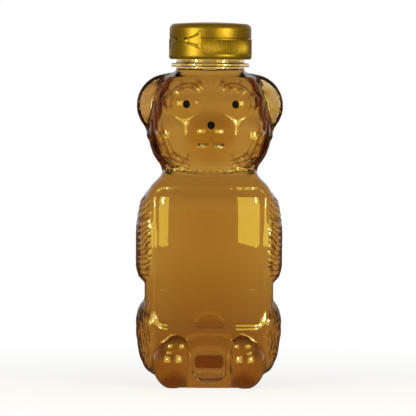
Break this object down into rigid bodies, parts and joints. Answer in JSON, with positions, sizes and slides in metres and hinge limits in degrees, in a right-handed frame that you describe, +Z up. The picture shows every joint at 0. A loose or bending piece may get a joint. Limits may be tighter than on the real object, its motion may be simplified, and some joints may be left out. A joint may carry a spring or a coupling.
{
  "type": "honey bear bottle",
  "caption": "Clear bear-shaped squeeze bottle full of honey, with a label panel front and back and a gold screw cap whose lid flips open on a butterfly hinge.",
  "frame": {"origin": "on the plane the bottle stands on, under the middle of its whole width and depth", "axes": "+Z up along the neck, -Y out of the bear's face, +X to the right of someone facing it"},
  "size_m": [0.0736, 0.0528, 0.182],
  "materials": {
    "clear_shell": "clear glossy blow-moulded PET",
    "honey": "dark amber honey, clear",
    "black_paint": "glossy black paint dots",
    "foam_liner": "white foam",
    "gold_cap": "satin gold pigmented polypropylene"
  },
  "bodies": {
    "bottle": {"bottle": "clear_shell", "honey": "honey", "eye_left": "black_paint", "eye_right": "black_paint", "nose": "black_paint"},
    "gasket": {"gasket": "foam_liner"},
    "closure": {"screw_cap": "gold_cap", "hinge_strap_left": "gold_cap", "hinge_strap_right": "gold_cap"},
    "lid": {"flip_lid": "gold_cap"}
  },
  "joints": [
    {"name": "closure_rise", "type": "slide", "parent": "bottle", "child": "gasket", "axis": [0, 0, 1], "range_m": [0, 0.0053]},
    {"name": "closure_turn", "type": "hinge", "parent": "gasket", "child": "closure", "pos_m": [0, 0.0024, 0.1685], "axis": [0, 0, 1], "range_deg": [0, 450]},
    {"name": "lid_hinge", "type": "hinge", "parent": "closure", "child": "lid", "pos_m": [-0.01558, -0.01138, 0.1721], "axis": [0.6626, -0.749, 0], "range_deg": [0, 170]}
  ],
  "couplings": [
    {"joint": "closure_rise", "follows": "closure_turn", "m_per_rad": 0.00067376}
  ]
}
